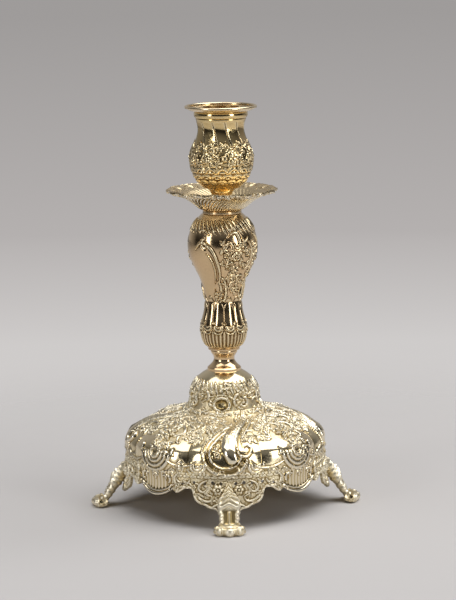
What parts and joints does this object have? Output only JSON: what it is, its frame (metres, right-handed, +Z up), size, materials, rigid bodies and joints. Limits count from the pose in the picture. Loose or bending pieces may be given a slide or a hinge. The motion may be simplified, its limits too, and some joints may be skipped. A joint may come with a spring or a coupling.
{
  "type": "candlestick",
  "caption": "Embossed silver-gilt table candlestick: lobed base on scrolled feet, baluster stem, wavy drip pan, vase-shaped cup and lift-out nozzle for one household candle.",
  "frame": {"origin": "on the surface the candlestick stands on, straight below the axis of the stem", "axes": "+Z up along the stem, -Y towards the front foot of the picture, +X to its right"},
  "size_m": [0.1686, 0.1686, 0.25],
  "materials": {
    "warm_gilt": "polished and embossed silver-gilt, warm gold where the gilding is kept, brown in the recesses",
    "pale_gilt": "polished and embossed silver-gilt, worn to pale silver on the high places, gold in the recesses",
    "iron": "plain turned iron"
  },
  "bodies": {
    "stand": {"cup_rim_ring": "warm_gilt", "cup_shell": "warm_gilt", "cup_boss": "warm_gilt", "drip_pan": "pale_gilt", "pan_collar": "warm_gilt", "stem_shell": "warm_gilt", "stem_foot_collar": "warm_gilt", "base_neck": "pale_gilt", "base_shell": "pale_gilt", "foot_front": "pale_gilt", "foot_right": "pale_gilt", "foot_back": "pale_gilt", "foot_left": "pale_gilt", "tie_rod": "iron", "dome_washer": "iron", "spring_washer": "iron", "rod_nut": "iron", "cup_nut": "iron"},
    "nozzle": {"nozzle_flange": "warm_gilt", "nozzle_sleeve": "warm_gilt"}
  },
  "joints": [
    {"name": "nozzle_lift", "type": "slide", "parent": "stand", "child": "nozzle", "axis": [0, 0, 1], "range_m": [0, 0.035]}
  ]
}
